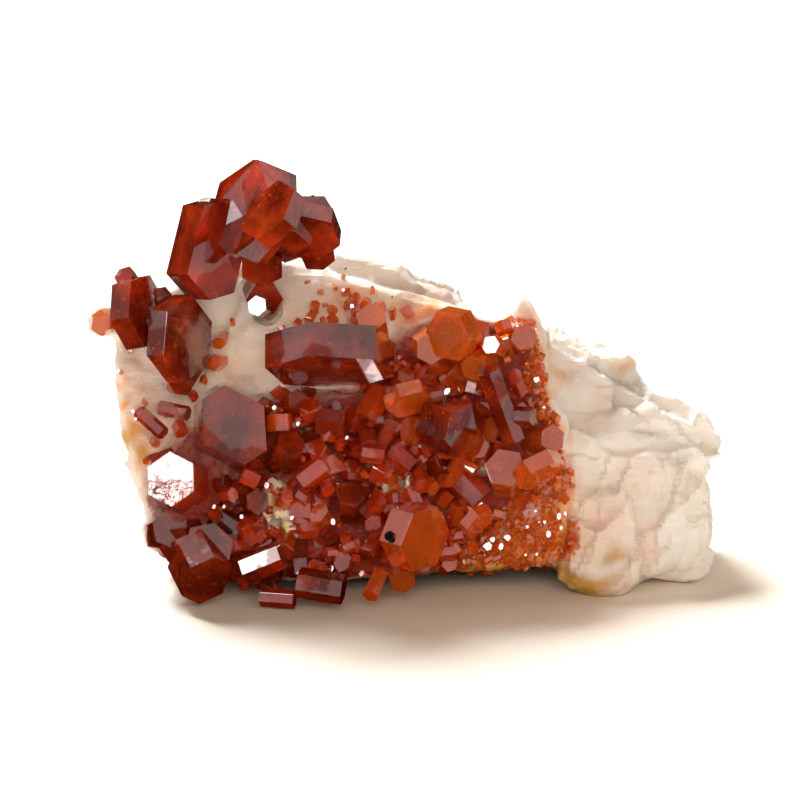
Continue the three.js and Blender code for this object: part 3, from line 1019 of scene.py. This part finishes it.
BLADE_BEDS = (
    # where thin barite plates stand among the crystals: x, y, reach across, reach up, how many, width
    (-9.7, 7.4, 1.4, 1.8, 16, 1.9),
    (-1.0, 11.0, 1.0, 1.7, 13, 1.7),
    (0.4, 9.3, 0.8, 0.9, 6, 1.3),
    (-18.9, 26.3, 0.4, 0.9, 4, 1.1),
    (5.0, 3.5, 0.5, 0.3, 3, 1.1),
    (7.0, 10.4, 1.2, 0.8, 4, 1.3),
)

# how thick a plate is and how far it stands out of the rock, as shares of its width
BLADE_THICKNESS, BLADE_PROUD = 0.22, 0.42

# where the dark speck sits on the face, its radius in millimetres and how ragged it is
SPECK = (-0.7, 5.1)
SPECK_RADIUS, SPECK_RAGGED = 0.42, 1.1


class GrowBlades(bpy.types.Operator):
    """Sets the thin barite plates that stand between the crystals"""

    bl_idname = "vanadinite.grow_blades"
    bl_label = "Grow Barite Blades"

    def execute(self, context):
        dice = random.Random(context.scene.vanadinite_druse.seed + 1)
        rock = Ground(bpy.data.objects["matrix_rock"])
        prisms = Prisms()
        for middle_x, middle_y, reach_x, reach_y, count, width in BLADE_BEDS:
            for _ in range(count):
                x = middle_x + dice.uniform(-reach_x, reach_x)
                y = middle_y + dice.uniform(-reach_y, reach_y)
                found = rock.at(x, y)
                axis = leaning(dice.uniform(35, 80), dice.gauss(60, 50))
                across = width * dice.uniform(0.6, 1.1)
                spin, squeeze = dice.uniform(0, 60), dice.uniform(0.5, 0.9)
                if found is None:
                    continue
                tip = found + FACE_TURN.col[2] * (across * BLADE_PROUD * MM)
                prisms.add(tip, axis, spin, across * MM, across * BLADE_THICKNESS * MM, squeeze=squeeze)
        material = clear_barite("clear_barite", context.scene.vanadinite_rock)
        new_piece("barite_blades", prisms.mesh("barite_blades"), material)
        return {"FINISHED"}


class SetSpeck(bpy.types.Operator):
    """Sets the dark speck that sits on one of the crystals"""

    bl_idname = "vanadinite.set_speck"
    bl_label = "Set Dark Speck"

    def execute(self, context):
        seat = Ground(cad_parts["spot_crystal"]).at(*SPECK)
        bm = bmesh.new()
        bmesh.ops.create_icosphere(bm, subdivisions=3, radius=SPECK_RADIUS * MM)
        for v in bm.verts:
            v.co = seat + v.co * (1.0 + SPECK_RAGGED * noise.noise(v.co / MM * 3.0))
        mesh = bpy.data.meshes.new("dark_speck")
        bm.to_mesh(mesh)
        bm.free()
        new_piece("dark_speck", mesh, dark_grain("dark_grain"))
        return {"FINISHED"}


# ---------- stage ----------


# how far the floor reaches each way, in metres
SPAN = 2.0

# the place on the face that the camera and the lights look at, in millimetres
VIEW_MIDDLE = (0, 16)

LIGHTS = (
    # name, direction from the specimen, distance, width and height in metres, radiance, colour, and whether
    # it shows in crystal faces or else lights the surfaces
    ("overhead", (-0.36, 0.52, 0.80), 0.62, (0.28, 0.28), 36.0, (1.0, 1.0, 1.0), False),
    ("back_right", (0.80, 0.35, 0.50), 0.70, (0.35, 0.30), 2.4, (1.0, 0.90, 0.78), False),
    ("front", (0.10, -0.88, 0.46), 0.62, (0.66, 0.34), 2.65, (1.0, 0.85, 0.68), False),
    ("flash", (-0.545, -0.69, 0.475), 0.50, (0.16, 0.16), 9.0, (1.0, 1.0, 1.0), True),
)


def area_light(name, aim, direction, far, size, radiance, colour, mirrored):
    """A soft light of that radiance, seen from aim in that direction."""
    data = bpy.data.lights.new(name, "AREA")
    data.shape = "RECTANGLE"
    data.size, data.size_y = size
    data.energy = radiance * math.pi * data.size * data.size_y
    data.color = colour
    light = bpy.data.objects.new(name, data)
    away = Vector(direction).normalized()
    light.location = aim + away * far
    light.rotation_mode = "QUATERNION"
    light.rotation_quaternion = away.to_track_quat("Z", "Y")
    light.visible_camera = False
    light.visible_glossy = mirrored
    light.visible_diffuse = not mirrored
    bpy.context.scene.collection.objects.link(light)
    return light


def sheet(name, points, faces, finish, colour, roughness, shine):
    """A plain sheet of the studio."""
    made = bpy.data.objects.new(name, mesh_from(name, points, faces))
    bpy.context.scene.collection.objects.link(made)
    plain = bpy.data.materials.new(finish)
    paint = Paint(plain)
    shader = paint.node("ShaderNodeBsdfPrincipled", {}, {
        "Base Color": (*colour, 1.0), "Roughness": roughness, "Specular IOR Level": shine,
    })
    paint.node("ShaderNodeOutputMaterial", {}, {"Surface": shader})
    made.data.materials.append(plain)
    return made


def dark_flag():
    """A dark screen behind and below the specimen, which only the crystals' faces mirror."""
    low, high, behind, right = -0.02, 0.7, 0.5, 0.12
    flag = sheet(
        "dark_flag",
        [(-SPAN, -SPAN, low), (right, -SPAN, low), (right, behind, low), (-SPAN, behind, low),
         (SPAN, behind, high), (-SPAN, behind, high), (SPAN, behind, low)],
        [(0, 1, 2, 3), (3, 6, 4, 5)],
        "black_cloth", colour=(0.004, 0.004, 0.004), roughness=1.0, shine=0.0,
    )
    for kind in ("camera", "diffuse", "transmission", "volume_scatter", "shadow"):
        setattr(flag, "visible_" + kind, False)


class SetStage(bpy.types.Operator):
    """Sets the floor, the soft lights, the white room and the camera"""

    bl_idname = "vanadinite.set_stage"
    bl_label = "Set Stage"

    def execute(self, context):
        scene = context.scene
        looks = scene.vanadinite_stage
        aim = on_face(*VIEW_MIDDLE)

        floor = sheet(
            "floor",
            [(-SPAN, -SPAN, 0), (SPAN, -SPAN, 0), (SPAN, SPAN, 0), (-SPAN, SPAN, 0)],
            [(0, 1, 2, 3)],
            "pale_floor", colour=(0.94, 0.88, 0.81), roughness=0.6, shine=0.2,
        )
        floor.visible_glossy = False
        dark_flag()

        world = bpy.data.worlds.new("white_room")
        scene.world = world
        paint = Paint(world)
        ray = "ShaderNodeLightPath"
        backdrop, white, warm = 1.05, (1.0, 1.0, 1.0), (1.0, 0.68, 0.42)
        strength = (
            looks.daylight
            + paint.node(ray, output="Is Camera Ray") * (backdrop - looks.daylight)
            + paint.node(ray, output="Is Glossy Ray") * (looks.dusk - looks.daylight)
        )
        colour = paint.blend(paint.node(ray, output="Is Diffuse Ray"), white, warm)
        sky = paint.node("ShaderNodeBackground", {}, {"Color": colour, "Strength": strength})
        paint.node("ShaderNodeOutputWorld", {}, {"Surface": sky})
        world.cycles.sampling_method = "NONE"

        for light in LIGHTS:
            area_light(light[0], aim, *light[1:])

        data = bpy.data.cameras.new("camera")
        data.sensor_width = 36.0
        data.lens = data.sensor_width * looks.camera_distance / looks.view_width
        data.clip_start, data.clip_end = 0.05, 10.0
        camera = bpy.data.objects.new("camera", data)
        camera.rotation_mode = "QUATERNION"
        camera.location = aim + FACE_TURN.col[2] * looks.camera_distance
        camera.rotation_quaternion = FACE_TURN.to_quaternion()
        scene.collection.objects.link(camera)
        scene.camera = camera
        scene.view_settings.view_transform = "Standard"
        return {"FINISHED"}


# ---------- the add-on ----------


class VanadinitePanel(bpy.types.Panel):
    """Lists the steps that build the specimen."""

    bl_idname = "VIEW3D_PT_vanadinite"
    bl_label = "Vanadinite on Matrix"
    bl_space_type = "VIEW_3D"
    bl_region_type = "UI"
    bl_category = "Vanadinite"

    def draw(self, context):
        for operator in OPERATORS:
            self.layout.operator(operator.bl_idname)
        for group in ("vanadinite_crystals", "vanadinite_rock", "vanadinite_druse", "vanadinite_stage"):
            settings = getattr(context.scene, group)
            box = self.layout.box()
            for key in settings.__annotations__:
                box.prop(settings, key)


GROUPS = {
    "vanadinite_crystals": CrystalLooks,
    "vanadinite_rock": RockLooks,
    "vanadinite_druse": DruseLooks,
    "vanadinite_stage": StageLooks,
}
OPERATORS = (GrowRock, GrowCrystals, GrowDruse, GrowBlades, SetSpeck, SetStage)


def register():
    """Registers the settings, the steps and the panel."""
    for attribute, group in GROUPS.items():
        bpy.utils.register_class(group)
        setattr(bpy.types.Scene, attribute, PointerProperty(type=group))
    for operator in OPERATORS:
        bpy.utils.register_class(operator)
    bpy.utils.register_class(VanadinitePanel)


def unregister():
    """Takes everything off again."""
    bpy.utils.unregister_class(VanadinitePanel)
    for operator in reversed(OPERATORS):
        bpy.utils.unregister_class(operator)
    for attribute, group in reversed(GROUPS.items()):
        delattr(bpy.types.Scene, attribute)
        bpy.utils.unregister_class(group)


def main():
    """Builds the specimen and its stage."""
    register()
    bpy.ops.vanadinite.grow_rock()
    bpy.ops.vanadinite.grow_crystals()
    bpy.ops.vanadinite.grow_druse()
    bpy.ops.vanadinite.grow_blades()
    bpy.ops.vanadinite.set_speck()
    bpy.ops.vanadinite.set_stage()


if __name__ == "__main__":
    main()
